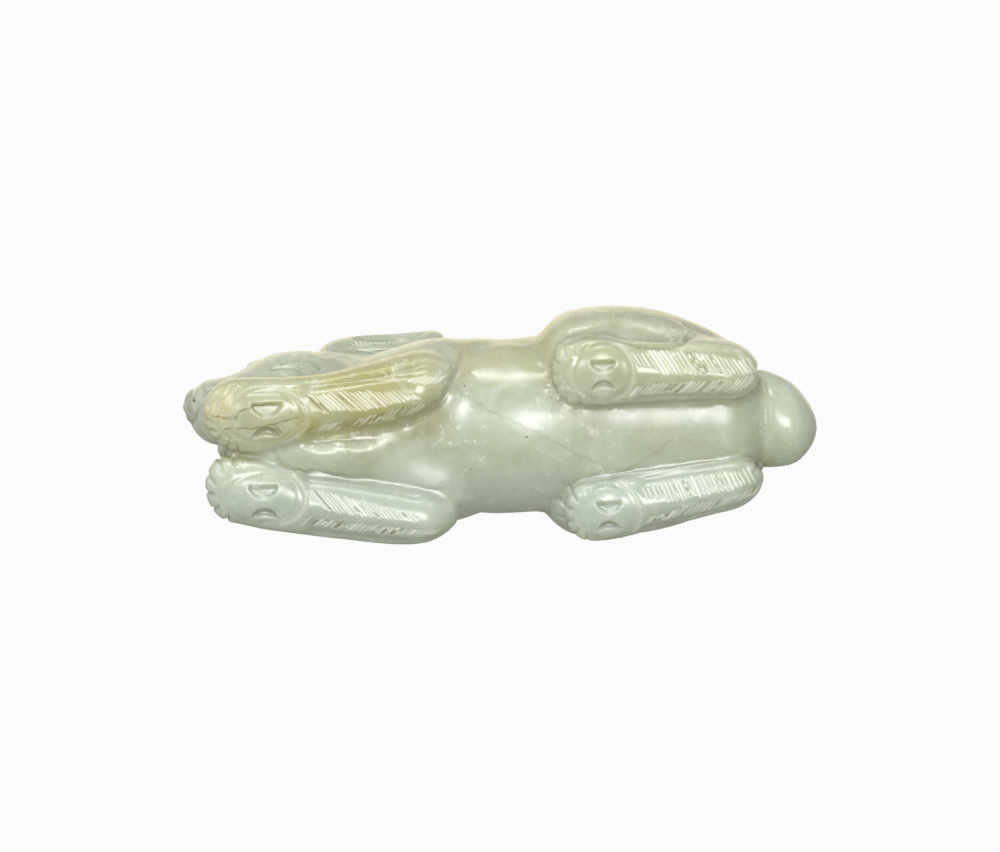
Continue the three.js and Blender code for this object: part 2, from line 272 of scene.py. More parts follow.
class Sole:
    """Where one sole's marks lie: pad, length of the half-moons, their shift, and the wrist's place."""

    def __init__(self, x, y, width, length, moon, forward, wrist):
        self.x, self.y = x, y
        self.width, self.length = width, length
        self.moon, self.forward, self.wrist = moon, forward, wrist


SOLES = [
    Sole(7.06, -40.7, 4.4, 6.5, 5.3, 0.9, 1.2),
    Sole(-7.5, -41.5, 4.3, 6.3, 5.0, 0.4, 1.1),
    Sole(12.4, 18, 4.9, 4.9, 4.3, 0.2, 0.5),
    Sole(-12.7, 17.9, 4.8, 4.8, 4.3, 0.4, 0.9),
]
PAD_HEIGHT = 1.5
PAD_HALF_HEIGHT = 1.52
PAD_JOIN = 0.25


def pad_forms():
    """A low dome under each paw."""
    pads = []
    for sole in SOLES:
        dome = pebble((sole.x, sole.y, PAD_HEIGHT), (sole.width, sole.length, PAD_HALF_HEIGHT))
        pads.append((dome, PAD_JOIN))
    return pads


FORMS = [
    *body_forms(),
    *upper_leg_forms(1),
    *upper_leg_forms(-1),
    *head_forms(),
    *face_side_forms(1),
    *face_side_forms(-1),
    (rounded_form(LEFT_FORELEG, 6, 7, 2.5), 0.6),
    (rounded_form(RIGHT_FORELEG, 4.6, 7, 2.5), 0.6),
    (rounded_form(LEFT_HIND_LEG, 3.8, 6, 2.5), 0.6),
    (rounded_form(RIGHT_HIND_LEG, 3.8, 6, 2.5), 0.6),
    *pad_forms(),
]


FAR = 30.0
FORM_MARGIN = 3


def polished_depth(p):
    """Distance in mm from each point to the plain polished forms, negative inside the stone."""
    depth = np.full(len(p), FAR)
    for (lowest, highest, distance), blend in FORMS:
        near = np.all((p > lowest - FORM_MARGIN) & (p < highest + FORM_MARGIN), axis=1)
        own = distance(p[near])
        whole = depth[near]
        share = np.maximum(blend - np.abs(whole - own), 0) / blend
        depth[near] = np.minimum(whole, own) - share * share * blend / 4
    return np.maximum(depth, FLOOR_SKIN - p[:, 2])


def step(start, end, value):
    """0 before start, 1 after end, smooth between; start may be above end."""
    t = np.clip((value - start) / (end - start), 0, 1)
    return t * t * (3 - 2 * t)


def groove(offset, half_width, depth):
    """Depth of a rounded cut, deepest where the offset from its line is 0."""
    return depth * np.exp(-((offset / half_width) ** 2))


def chance(number, seed):
    """A fixed random share for each whole number."""
    return np.abs(np.modf(np.sin(number * 12.9898 + seed * 78.233) * 43758.5453)[0])


def in_photo_plane(p, x):
    """Places along the bear and up the photograph, with x as given so that a side can be mirrored."""
    return np.stack([p[:, 1], x * math.cos(TILT) + p[:, 2] * math.sin(TILT)], axis=1)


class Cut:
    """What is carved at each of many points: depth in mm, matt ground stone, and russet soil."""

    def __init__(self, p, facing):
        self.p, self.facing = p, facing
        self.seen = in_photo_plane(p, p[:, 0])
        self.towards = facing[:, 0] * math.sin(TILT) - facing[:, 2] * math.cos(TILT)
        self.depth = np.zeros(len(p))
        self.ground = np.zeros(len(p))
        self.soil = np.zeros(len(p))

    def add(self, depth, where=None, ground=0.0, soil=0.0):
        """Carves one mark where a mask allows it; ground and soil are shares of the mark's own depth."""
        if where is not None:
            depth = depth * where
        share = np.clip(depth / max(depth.max(), 1e-6), 0, 1)
        self.depth = np.maximum(self.depth, depth)
        self.ground = np.maximum(self.ground, share * ground)
        self.soil = np.maximum(self.soil, share * soil)


LINE_REACH = 4
OUT_OF_REACH = 1e3


def line_distance(flat, line):
    """Distance in mm from flat points to an open line, worked out within its reach alone."""
    line = np.array(line, float)
    low = line.min(axis=0) - LINE_REACH
    high = line.max(axis=0) + LINE_REACH
    near = np.all((flat > low) & (flat < high), axis=1)
    points = flat[near]
    best = np.full(len(points), OUT_OF_REACH)
    for a, b in zip(line[:-1], line[1:]):
        along = np.clip(((points - a) @ (b - a)) / ((b - a) @ (b - a)), 0, 1)
        best = np.minimum(best, np.linalg.norm(points - a - along[:, None] * (b - a), axis=1))
    whole = np.full(len(flat), OUT_OF_REACH)
    whole[near] = best
    return whole


def smooth_line(line, count=16):
    """The same open line, rounded by a cubic through its points."""
    flat = np.array(line, float)
    reach = np.concatenate([[0], np.cumsum(np.linalg.norm(np.diff(flat, axis=0), axis=1))])
    table = np.column_stack([reach, flat])
    places = np.linspace(0, reach[-1], count)
    return np.column_stack([column_curve(table, 1, places), column_curve(table, 2, places)])


SOLE_TOP = 3.4


def half_moon(flat, x, y, length, width, hollow):
    """Depth inside a half-moon in mm, its round side towards -X for a positive width."""
    along = (flat[:, 1] - y) / (length / 2)
    side = math.copysign(1, width)
    drop = (x - flat[:, 0]) * side
    span = np.maximum(1 - along ** 2, 0)
    round_edge = np.minimum(abs(width) * np.sqrt(span) - drop, (1 - np.abs(along)) * length / 2)
    flat_edge = drop - hollow * span
    soft = 0.35
    share = np.maximum(soft - np.abs(round_edge - flat_edge), 0) / soft
    return np.minimum(round_edge, flat_edge) - share * share * soft / 4


def moons_of(flat, sole):
    """Depth in mm inside either half-moon of a sole, and inside the lower one alone."""
    moon = sole.moon
    upper = half_moon(flat, sole.x + moon * 0.5, sole.y + sole.forward, moon * 1.04, moon * 0.48, 0)
    lower_y = sole.y + sole.forward * 0.6
    lower = half_moon(flat, sole.x - moon * 0.76, lower_y, moon * 0.92, -moon * 0.46, moon * 0.14)
    return np.maximum(upper, lower), lower


def cut_sole(cut, sole):
    """The pad's edge, its two half-moons and the line at the wrist."""
    flat = cut.p[:, :2]
    across = (flat[:, 0] - sole.x) / sole.width
    along = (flat[:, 1] - sole.y) / sole.length
    ring = np.hypot(across, along)
    size = (sole.width + sole.length) / 2
    under = step(SOLE_TOP, SOLE_TOP - 1.2, cut.p[:, 2]) * (ring < 2.2)
    cut.add(groove((ring - 1.02) * size, 0.45, 0.12), under)
    turn = np.arctan2(across, along)
    wrist = groove((ring - 1) * size - sole.wrist, 0.26, 0.3) * step(1.3, 1.05, np.abs(turn))
    cut.add(wrist, under, ground=0.3)
    moons, lower = moons_of(flat, sole)
    cut.add(0.6 * step(-0.25, 0.6, moons), under)
    cut.add(groove(lower - 0.4, 0.3, 0.05), under, soil=0.35)


class Toes:
    """Toes fanned about a point: how far out their tips reach, and the turn and depth of the clefts."""

    def __init__(self, x, y, reach, clefts, depth):
        self.x, self.y, self.reach = x, y, reach
        self.clefts, self.depth = clefts, depth


TOES = [
    Toes(6.8, -44.8, 6.4, (-1.45, -1.1, -0.75, -0.4, -0.05), 0.45),
    Toes(-6.2, -45.6, 6.1, (-1.15, -0.6, -0.05, 0.45, 1), 0.6),
    Toes(12.2, 14.2, 5.6, (-1.5, -1, -0.5, 0, 0.5, 1, 1.5), 0.3),
    Toes(-12.9, 15.4, 5.4, (-1.3, -0.8, -0.3, 0.25, 0.8), 0.45),
]


def cut_toes(cut, toes):
    """Clefts between the toes, with each toe rounded between them, and a knuckle line behind."""
    x = cut.p[:, 0] - toes.x
    y = toes.y - cut.p[:, 1]
    out = np.hypot(x, y)
    turn = np.arctan2(x, y)
    near = (out < toes.reach + 2) * step(7.6, 5.6, cut.p[:, 2]) * (np.abs(turn) < 1.75)
    outer = step(toes.reach - 2.6, toes.reach - 1.1, out) * near
    for cleft in toes.clefts:
        bend = 0.05 * np.sin(out * 1.7 + cleft)
        cut.add(groove((turn - cleft + bend) * out, 0.34, toes.depth), outer, ground=0.15, soil=0.12)
    knuckles = groove(out - toes.reach + 2.8, 0.3, 0.14) * step(1.3, 1.1, np.abs(turn))
    cut.add(knuckles, near * step(3.2, 2.4, cut.p[:, 2]))


class FurRow:
    """A row of straight strokes: y, middle x and height at a few places, and the strokes' lean.

    Two rows run down each limb, one to each side of a soft ridge.
    """

    def __init__(self, places, lean, soiled, seed):
        self.places = np.array(places, float)
        self.lean, self.soiled, self.seed = lean, soiled, seed


STROKE_PITCH = 0.8
STROKE_HALF_WIDTH = 0.14
STROKE_DEPTH = 0.17
FUR_ROWS = [
    FurRow([(-33.8, 9.7, 1.6), (-30, 9.3, 3.4), (-22, 9.3, 3.4), (-14.5, 9.6, 1)], -1.05, 0.2, 1),
    FurRow([(-33, 3.9, 1.6), (-24, 5, 2.2), (-13.5, 7.2, 2)], 0.95, 0.7, 2),
    FurRow([(-34, -6.8, 1.6), (-30, -8.4, 3), (-24, -10, 2.8), (-15.5, -12, 1.2)], -1.05, 0.15, 3),
    FurRow([(-34.5, -11.8, 1.8), (-23, -14, 2.2), (-12, -15, 1.4)], 0.9, 0.45, 4),
    FurRow([(23.6, 14.6, 2.4), (28, 14, 4), (35, 13.4, 3.8), (44, 11.9, 2.4)], -0.6, 0.25, 5),
    FurRow([(23, 8.6, 2.2), (33, 8.9, 2.8), (43.5, 9.2, 2.4)], 0.9, 0.2, 6),
    FurRow([(24.2, -9.4, 2.2), (29, -9.1, 3.6), (35, -8.3, 3.6), (43, -7.3, 2.6)], -0.4, 0.2, 7),
    FurRow([(24.4, -14.6, 1.8), (34, -12.8, 2.2), (44.3, -10.2, 1.8)], 0.8, 0.35, 8),
    FurRow([(-15.5, 12.6, 0.8), (-12.5, 12.4, 2), (-9.5, 12.2, 1)], 1.6, 0.1, 9),
]


def cut_fur(cut, row):
    """One row of wheel-cut strokes, each a little different."""
    y, x = cut.p[:, 1], cut.p[:, 0]
    middle = np.interp(y, row.places[:, 0], row.places[:, 1])
    height = np.interp(y, row.places[:, 0], row.places[:, 2])
    across = x - middle
    place = (y - row.places[0, 0] - across * row.lean) / STROKE_PITCH
    number = np.floor(place)
    jitter = (chance(number, row.seed) - 0.5) * 0.26
    slant = math.cos(math.atan(row.lean))
    offset = (place - number - 0.5 - jitter) * STROKE_PITCH * slant
    width = STROKE_HALF_WIDTH * (0.75 + 1.2 * chance(number, row.seed + 3) ** 3)
    reach = height / 2 * (0.85 + 0.4 * chance(number, row.seed + 5))
    inside = step(reach, reach - 0.4, np.abs(across))
    span = (row.places[-1, 0] - row.places[0, 0]) / STROKE_PITCH
    inside = inside * (number >= 0) * (number < span)
    inside = inside * (np.abs(across) < 4) * (cut.p[:, 2] < SOLE_TOP)
    depth = STROKE_DEPTH * (0.5 + 0.6 * chance(number, row.seed + 7))
    dark = chance(number, row.seed + 9) < row.soiled
    patch = step(0.35, 0.6, chance(np.floor(across * 1.4 + number * 3.1), row.seed + 11))
    stained = dark * patch
    cut.add(groove(offset, width, depth), inside, ground=1 - stained)
    cut.add(groove(offset, width * 0.7, depth), inside, soil=stained)


# The soft ridge between the rows, as y and x along each limb.
RIDGES = [
    [(-34, 7.4), (-30, 7.6), (-21.4, 7.6), (-14.5, 9), (-9, 10.5)],
    [(-35, -9.3), (-31.9, -9.3), (-24.7, -11), (-16.5, -12.7), (-10, -13.5)],
    [(23, 12.2), (25.5, 11.9), (35, 11.3), (42, 10.2), (45, 9.8)],
    [(23, -11.9), (26.2, -11.6), (34, -10.3), (42.8, -8.6), (45, -8.4)],
]
RIDGE_FALL = 0.17


def cut_ridge(cut, ridge):
    """Takes the sole of a limb down to both sides of its ridge."""
    table = np.array(ridge)
    y, x = cut.p[:, 1], cut.p[:, 0]
    across = np.abs(x - np.interp(y, table[:, 0], table[:, 1]))
    fall = RIDGE_FALL * (np.sqrt(across ** 2 + 0.4) - 0.63)
    ends = step(table[0, 0] - 0.5, table[0, 0] + 2, y) * step(table[-1, 0] + 3, table[-1, 0] - 1, y)
    return fall * ends * (across < 6) * step(SOLE_TOP, SOLE_TOP - 1.6, cut.p[:, 2])


# Long cuts of the wheel on the bear's sides, as places in the photograph's plane: along the bear and up.
THIGH_CREASE = smooth_line([
    (11.5, 17.4), (14.5, 18.5), (18, 18.5), (21.8, 17.6),
    (25.7, 16.9), (29.7, 16.6), (32.1, 17), (33.2, 17.8),
])
THIGH_RIDGE = smooth_line([
    (11, 20), (16.4, 21), (19, 21.6), (21.6, 21.6),
    (25, 20.8), (28.4, 19.8), (33.6, 18.2),
])
RUMP_FOLD = smooth_line([(32.3, 20.5), (33.6, 19.4), (35.3, 18.6), (37.7, 17.8)])
BROW_OUTER = smooth_line([(-37.5, 16.6), (-36.3, 16.9), (-33.9, 17), (-31.9, 16.5), (-30.9, 15.4)])
BROW_INNER = smooth_line([(-39.2, 15.6), (-36.6, 15.7), (-34.5, 15.2), (-33.9, 14.4), (-34.6, 13.5)])
EAR_ROOT = smooth_line([(-30.1, 17.6), (-27.9, 17.4), (-26.2, 16.6), (-24, 15.6)])
EAR_EDGE = smooth_line([(-28, 19), (-22, 19.4), (-16, 19.6), (-11, 20)])
ELBOW_EDGE = smooth_line([
    (-16, 4.6), (-14, 5.5), (-11.9, 6.3), (-10.1, 7.8),
    (-8.5, 10.3), (-7.3, 12.7), (-6.2, 15.4), (-5, 18.3),
])
FORELEG_EDGE = smooth_line([
    (-42, 11.6), (-40.7, 11.9), (-35.9, 11.9),
    (-30.7, 12.5), (-23.7, 12.7), (-14.7, 12.8),
])
RIGHT_FORELEG_EDGE = smooth_line([
    (-32.2, -2.7), (-29.6, -3.3), (-26.2, -4.5), (-21.9, -5.5), (-14.8, -7.7),
])
RIGHT_HIND_EDGE = smooth_line([(12.4, -7.2), (16.9, -6.4), (23.8, -6.1), (32.5, -4.8), (38.6, -4)])
OUTER_TOES = [
    smooth_line([(-46.4, 9.7), (-45.8, 10.6), (-44.2, 12), (-42.4, 13.2)]),
    smooth_line([(-48.6, 9.4), (-48.2, 10), (-46.8, 11.1), (-45.2, 12.6)]),
    smooth_line([(-50, 9), (-49.6, 9.7), (-48.5, 11), (-47.3, 12)]),
]
JAW = smooth_line([(-38.9, 0.9), (-38.2, -0.8), (-36.5, -2.5), (-34.8, -2.5)])
FLANK_FOLD = smooth_line([(-4.5, 16.7), (-1.9, 18.1), (1.6, 18.7), (5, 18.2)])
TAIL_ROOT = smooth_line([(44.9, 12), (45.7, 11.1), (46, 6.2), (45.9, 1), (45.1, -3.3), (44, -6)])
TAIL_DIP = smooth_line([(48.6, 9), (49.2, 6), (49.8, 3), (50, 0)])
NOSE_NICK = [(-53.5, 11.2), (-53, 10.5)]
NOSE_EDGE = smooth_line([(-51, 13), (-51.6, 10.6), (-52.8, 7.6), (-54.2, 5.8)])
PAW_CRACKS = [
    [(-49.2, 7.5), (-45.1, 6.9), (-44.7, 8), (-42, 9), (-38.2, 9.3)],
    [(-47.1, 5.3), (-42.2, 5.1), (-38.7, 5.7), (-34.4, 6.7)],
    [(-38.7, 5.7), (-37.6, 4.2)],
]
BELLY_CRACK = [
    (-7.4, 10.6), (-5.2, 9), (-3.2, 7.5), (-1.2, 6.2),
    (3.5, 3.7), (10.3, 0), (13.7, -2.1), (16.7, -3.4),
]
HIND_CRACK = [(18.7, -6.1), (24, -3.6), (27, -2.1), (29.7, 0.3)]


def cut_sides(cut):
    """Teardrop thigh, rump and flank folds, the same on both sides of the body."""
    x, z = cut.p[:, 0], cut.p[:, 2]
    seen = in_photo_plane(cut.p, np.abs(x))
    side = step(22, 18, z) * (np.abs(x) > 2)
    crease = line_distance(seen, THIGH_CREASE)
    ridge = line_distance(seen, THIGH_RIDGE)
    cut.add(groove(crease, 0.45, 0.8), side, soil=0.1)
    facet = 0.75 * step(0, 1.3, ridge) * step(0, 1.2, crease)
    below = np.interp(seen[:, 0], THIGH_RIDGE[:, 0], THIGH_RIDGE[:, 1]) > seen[:, 1]
    above = np.interp(seen[:, 0], THIGH_CREASE[:, 0], THIGH_CREASE[:, 1]) < seen[:, 1]
    span = step(9, 14, seen[:, 0]) * step(34, 31, seen[:, 0])
    cut.add(facet, side * below * above * span)
    cut.add(groove(line_distance(seen, RUMP_FOLD), 0.4, 0.4), side, soil=0.12)
    cut.add(groove(line_distance(seen, FLANK_FOLD), 0.9, 0.4), side)


# Marks of the face: ovals as a middle and half sizes, the ear's in y and z, the mouth's in x and y.
LID_HALVES = (2.7, 1.75)
PUPIL_FORWARD = 0.3
EAR_BOWL = (-18.6, 28.4)
EAR_BOWL_HALVES = (7.4, 2.6)
HATCH_PITCH = 0.8
HATCH_FRONT = -25.5
HATCH_BACK = -17
HATCH_LOW = 18.9
HATCH_HIGH = 19.8
MOUTH_HEIGHT = 14.9
MOUTH_RISE = 0.06
MOUTH_MIDDLE = (3.4, -47)
MOUTH_HALVES = (9, 9.5)
NOSE_MIDDLE = 4.3
NOSTRIL = (1.35, 20.1)
NOSTRIL_HALVES = (0.5, 0.75)


def oval(a, b, middle, halves):
    """How far out each place lies in an oval: 0 at its middle and 1 on its edge."""
    return np.hypot((a - middle[0]) / halves[0], (b - middle[1]) / halves[1])


def within(low, high, soft, value):
    """1 between low and high, fading to 0 at both."""
    return step(low, low + soft, value) * step(high, high - soft, value)


def cut_face(cut):
    """Eyes, cheek curls, mouth, nostrils and ears."""
    x, y, z = cut.p.T
    aside = np.abs(x - FACE_MIDDLE)
    seen = in_photo_plane(cut.p, FACE_MIDDLE + aside)
    low_side = step(-0.3, 0, cut.facing[:, 2] * -1) * (aside > 3) * (z > 11)
    cut.add(groove(line_distance(seen, BROW_OUTER), 0.45, 0.6), low_side)
    cut.add(groove(line_distance(seen, BROW_INNER), 0.45, 0.65), low_side)
    cut.add(groove(line_distance(seen, EAR_ROOT), 0.4, 0.4), low_side, ground=0.2)
    cut.add(groove(line_distance(seen, EAR_EDGE), 0.35, 0.25), low_side)
    slanted = (seen[:, 0] + seen[:, 1] * 0.7) / HATCH_PITCH
    hatch = np.abs(slanted - np.floor(slanted) - 0.5) * HATCH_PITCH
    hatched = within(HATCH_FRONT, HATCH_BACK, 1, y) * within(HATCH_LOW, HATCH_HIGH, 0.2, seen[:, 1])
    cut.add(groove(hatch, 0.14, 0.16), hatched * low_side * (x > 0), ground=0.8)
    outward = step(0.35, 0.7, np.abs(cut.facing[:, 0]))
    lid = oval(y, z, (EYE_Y, EYE_HEIGHT), LID_HALVES)
    cut.add(groove(lid - 1, 0.16, 0.4), (aside > 5) * (lid < 2), ground=0.15)
    pupil = np.hypot(y - EYE_Y + PUPIL_FORWARD, z - EYE_HEIGHT)
    cut.add(0.22 * step(0.75, 0.45, pupil), aside > 5, ground=0.4)
    bowl = oval(y, z, EAR_BOWL, EAR_BOWL_HALVES)
    cut.add(1.1 * step(1, 0.45, bowl), outward * (aside > 10.4))
    lip = z - MOUTH_HEIGHT - MOUTH_RISE * (y - MOUTH_MIDDLE[1])
    jaw = oval(x, y, MOUTH_MIDDLE, MOUTH_HALVES)
    cut.add(groove(lip, 0.3, 0.5), step(1, 0.93, jaw) * (z > 12), soil=0.15)
    nostril = oval(np.abs(x - NOSE_MIDDLE), z, NOSTRIL, NOSTRIL_HALVES)
    front = step(-0.3, -0.6, cut.facing[:, 1]) * (y < -51)
    cut.add(groove(nostril, 1, 0.55), front, soil=0.3)
    cut.add(groove(x - NOSE_MIDDLE, 0.22, 0.3), front * within(14.8, 18.6, 0.4, z))
    below = step(0, 0.3, cut.towards)
    cut.add(groove(line_distance(cut.seen, NOSE_EDGE), 0.4, 0.4), below * (z > 10) * (z < 25))
    nick = step(0.3, 0.5, cut.towards) * (x > 2) * (z > 14)
    cut.add(groove(line_distance(cut.seen, NOSE_NICK), 0.28, 0.5), nick, soil=1.0)


def cut_underside(cut):
    """Toe streaks, elbow, edges of the forelegs, jaw, tail root and cracks, as the photograph shows them."""
    z = cut.p[:, 2]
    left = cut.p[:, 0] > 2
    for toe in OUTER_TOES:
        cut.add(groove(line_distance(cut.seen, toe), 0.3, 0.4), left * step(9, 8, z), ground=0.1)
    cut.add(groove(line_distance(cut.seen, ELBOW_EDGE), 0.55, 0.4), step(12, 9, z) * left)
    cut.add(groove(line_distance(cut.seen, FORELEG_EDGE), 0.35, 0.12), step(4, 3, z))
    for edge in (RIGHT_FORELEG_EDGE, RIGHT_HIND_EDGE):
        cut.add(groove(line_distance(cut.seen, edge), 0.35, 0.16), step(5, 4, z))
    cut.add(groove(line_distance(cut.seen, JAW), 0.5, 0.4), step(9, 8, z))
    cut.add(groove(line_distance(cut.seen, TAIL_ROOT), 0.5, 0.45), step(12, 10, z), ground=0.2)
    cut.add(groove(line_distance(cut.seen, TAIL_DIP), 0.9, 0.15), step(12, 10, z))
    wander = 0.08 * np.sin(cut.seen[:, 0] * 2.9)
    for crack in PAW_CRACKS:
        across = line_distance(cut.seen + wander[:, None], crack)
        cut.add(groove(across, 0.13, 0.03), step(3, 2, z), soil=0.7)
    for crack in (BELLY_CRACK, HIND_CRACK):
        across = line_distance(cut.seen + wander[:, None], crack)
        cut.add(groove(across, 0.22, 0.01), step(8, 7, z), soil=0.22)


def carved(p, facing):
    """All cuts at each point."""
    cut = Cut(p, facing)
    for sole in SOLES:
        cut_sole(cut, sole)
    for toes in TOES:
        cut_toes(cut, toes)
    for row in FUR_ROWS:
        cut_fur(cut, row)
    cut_sides(cut)
    cut_face(cut)
    cut_underside(cut)
    for ridge in RIDGES:
        cut.depth = cut.depth + cut_ridge(cut, ridge)
    return cut


NUDGE = 0.02
LONGEST_MOVE = 0.5


def settle(p, rounds):
    """Moves points onto the skin of the polished forms, along its slope."""
    for _ in range(rounds):
        depth = polished_depth(p)
        slope = np.stack([polished_depth(p + NUDGE * axis) - depth for axis in np.eye(3)], axis=1) / NUDGE
        size = np.maximum((slope ** 2).sum(axis=1), 0.05)
        move = -(depth / size)[:, None] * slope
        length = np.linalg.norm(move, axis=1, keepdims=True)
        p = p + move * np.minimum(1, LONGEST_MOVE / np.maximum(length, 1e-9))
    return p


# Spacing in mm of the first even skin, before the parts that are cut are made finer.
COARSE = 1.1


def skin_of_solid(node):
    """An even quad skin round a merged copy of the CAD solid."""
    mesh = node.data.copy()
    work = bmesh.new()
    work.from_mesh(mesh)
    bmesh.ops.remove_doubles(work, verts=work.verts, dist=1e-6)
    work.to_mesh(mesh)
    work.free()
    mesh.transform(node.matrix_world)
    skin = bpy.data.objects.new("skin", mesh)
    bpy.context.scene.collection.objects.link(skin)
    remesh = skin.modifiers.new("even", "REMESH")
    remesh.mode = "VOXEL"
    remesh.voxel_size = COARSE * MM
    depsgraph = bpy.context.evaluated_depsgraph_get()
    even = bpy.data.meshes.new_from_object(skin.evaluated_get(depsgraph))
    bpy.data.objects.remove(skin)
    return even


def places_of(mesh):
    """The mesh's points in mm."""
    p = np.empty(len(mesh.vertices) * 3)
    mesh.vertices.foreach_get("co", p)
    return p.reshape(-1, 3) / MM


def relax(p, mesh, rounds):
    """Evens the spacing of points by moving each towards its neighbours' middle."""
    edges = np.empty(len(mesh.edges) * 2, int)
    mesh.edges.foreach_get("vertices", edges)
    a, b = edges.reshape(-1, 2).T
    count = np.bincount(np.concatenate([a, b]), minlength=len(p))[:, None]
    for _ in range(rounds):
        total = np.zeros_like(p)
        for axis in range(3):
            total[:, axis] = np.bincount(a, p[b, axis], len(p)) + np.bincount(b, p[a, axis], len(p))
        p = p + 0.5 * (total / count - p)
    return p


def put_places(mesh, p):
    """Puts points in mm back on the mesh."""
    mesh.vertices.foreach_set("co", (p * MM).ravel())
    mesh.update()


def refine(mesh, wanted):
    """Splits the edges whose middle is wanted, so that fine cuts have points to carry them."""
    work = bmesh.new()
    work.from_mesh(mesh)
    middles = np.array([(e.verts[0].co + e.verts[1].co) / 2 for e in work.edges]) / MM
    chosen = wanted(middles)
    edges = [e for e, pick in zip(work.edges, chosen) if pick]
    bmesh.ops.subdivide_edges(work, edges=edges, cuts=1, use_grid_fill=True)
    work.to_mesh(mesh)
    work.free()


def near_soles(m):
    """Undersides of the limbs, the toes, both sides of the face and the long cuts."""
    inside = np.zeros(len(m), bool)
    for leg in (LEFT_FORELEG, RIGHT_FORELEG, LEFT_HIND_LEG, RIGHT_HIND_LEG):
        table = np.array(leg)
        centre = np.interp(m[:, 1], table[:, 0], table[:, 1])
        half = np.interp(m[:, 1], table[:, 0], table[:, 2])
        along = (m[:, 1] > table[0, 0] - 1.5) & (m[:, 1] < table[-1, 0] + 0.5)
        inside |= along & (np.abs(m[:, 0] - centre) < half + 0.8) & (m[:, 2] < 3.6)
    for toes in TOES:
        out = np.hypot(m[:, 0] - toes.x, m[:, 1] - toes.y)
        inside |= (out < toes.reach + 1.5) & (m[:, 1] < toes.y + 1) & (m[:, 2] < 7.5)
    aside = np.abs(m[:, 0] - FACE_MIDDLE)
    inside |= (aside > 6.4) & (m[:, 1] < -8) & (m[:, 2] > 13) & (m[:, 2] < 32.5)
    return inside | near_face_marks(m) | near_long_cuts(m, 0.8)


def near_long_cuts(m, reach):
    """Within reach of the creases of the body, the jaw, the tail's root and the veins of the belly."""
    seen = in_photo_plane(m, m[:, 0])
    mirrored = in_photo_plane(m, np.abs(m[:, 0]))
    near = np.full(len(m), OUT_OF_REACH)
    for line in (ELBOW_EDGE, BELLY_CRACK, HIND_CRACK, JAW, TAIL_ROOT):
        near = np.minimum(near, line_distance(seen, line))
    for line in (THIGH_CREASE, THIGH_RIDGE):
        near = np.minimum(near, line_distance(mirrored, line))
    return (near < reach) & (m[:, 2] < 16)


def near_cuts(m):
    """Pads, fur rows, toes, ear and creases, where the marks are a few tenths of a millimetre wide."""
    inside = near_fur(m, 0.7)
    for sole in SOLES:
        across = (m[:, 0] - sole.x) / (sole.width + 0.5)
        along = (m[:, 1] - sole.y) / (sole.length + 0.5)
        ring = np.hypot(across, along)
        wrist = (along > 0) & (ring < 1.3)
        moons = (np.abs(across) < 0.9) & (np.abs(along) < 0.6)
        inside |= (np.abs(ring - 0.95) < 0.16) | wrist | moons
    inside &= m[:, 2] < 2.6
    for toes in TOES:
        out = np.hypot(m[:, 0] - toes.x, m[:, 1] - toes.y)
        inside |= (out > toes.reach - 3) & (out < toes.reach + 1) & (m[:, 1] < toes.y) & (m[:, 2] < 5)
    aside = np.abs(m[:, 0] - FACE_MIDDLE)
    ear = (m[:, 0] > 8) & (m[:, 1] > -27) & (m[:, 1] < -15) & (m[:, 2] > 22) & (m[:, 2] < 30)
    cheek = (aside > 6) & (m[:, 1] > -40) & (m[:, 1] < -30) & (m[:, 2] > 14) & (m[:, 2] < 20)
    return inside | ear | cheek | near_face_marks(m) | near_long_cuts(m, 0.6)


def near_face_marks(m):
    """Eyes, mouth line and nose."""
    aside = np.abs(m[:, 0] - FACE_MIDDLE)
    eye = (aside > 5) & (np.hypot((m[:, 1] - EYE_Y) / 3.4, (m[:, 2] - EYE_HEIGHT) / 2.5) < 1)
    mouth = (np.abs(m[:, 2] - MOUTH_HEIGHT) < 1.1) & (m[:, 1] < -37.5)
    nose = (m[:, 1] < -51.5) & (m[:, 2] > 14)
    return eye | mouth | nose


def near_fur(m, margin):
    """Inside any fur row, or within a margin of it."""
    inside = np.zeros(len(m), bool)
    for row in FUR_ROWS:
        table = row.places
        middle = np.interp(m[:, 1], table[:, 0], table[:, 1])
        height = np.interp(m[:, 1], table[:, 0], table[:, 2])
        along = (m[:, 1] > table[0, 0] - margin) & (m[:, 1] < table[-1, 0] + margin)
        inside |= along & (np.abs(m[:, 0] - middle) < height * 0.6 + margin)
    return inside


def near_strokes(m):
    """Fur strokes, the rims of the half-moons and the paw's cracks, a tenth of a millimetre wide."""
    inside = near_fur(m, 0.1)
    for sole in SOLES:
        inside |= np.abs(moons_of(m[:, :2], sole)[0]) < 0.4
    on_ground = np.stack([m[:, 1], m[:, 0] * math.cos(TILT)], axis=1)
    for crack in PAW_CRACKS:
        inside |= line_distance(on_ground, crack) < 0.4
    return inside & (m[:, 2] < 2.6)


def facing_of(p):
    """Outward direction of the plain forms at each point."""
    rises = []
    for axis in np.eye(3):
        rises.append(polished_depth(p + 0.05 * axis) - polished_depth(p - 0.05 * axis))
    slope = np.stack(rises, axis=1)
    return slope / np.maximum(np.linalg.norm(slope, axis=1, keepdims=True), 1e-9)


def warm_stone_and_flank_shade(p):
    """Share of yellow-olive: the stone's own colour, strong in the left foreleg and faint in the left
    haunch, and painted shade along the upper left flank.
    """
    x, y, z = p.T
    foreleg = step(0, 4, x) * step(-6, -16, y) * step(15, 7, z) * (0.45 + 0.55 * step(-38, -32, y))
    haunch = 0.35 * step(4, 14, x) * step(4, 12, y)
    # Painted shade: an olive band along the upper left flank, standing for the darker edge of the stone.
    flank = 0.6 * step(8, 13, x) * step(-10, -5, y) * step(14, 8, y)
    return np.maximum(np.maximum(foreleg, haunch), flank)


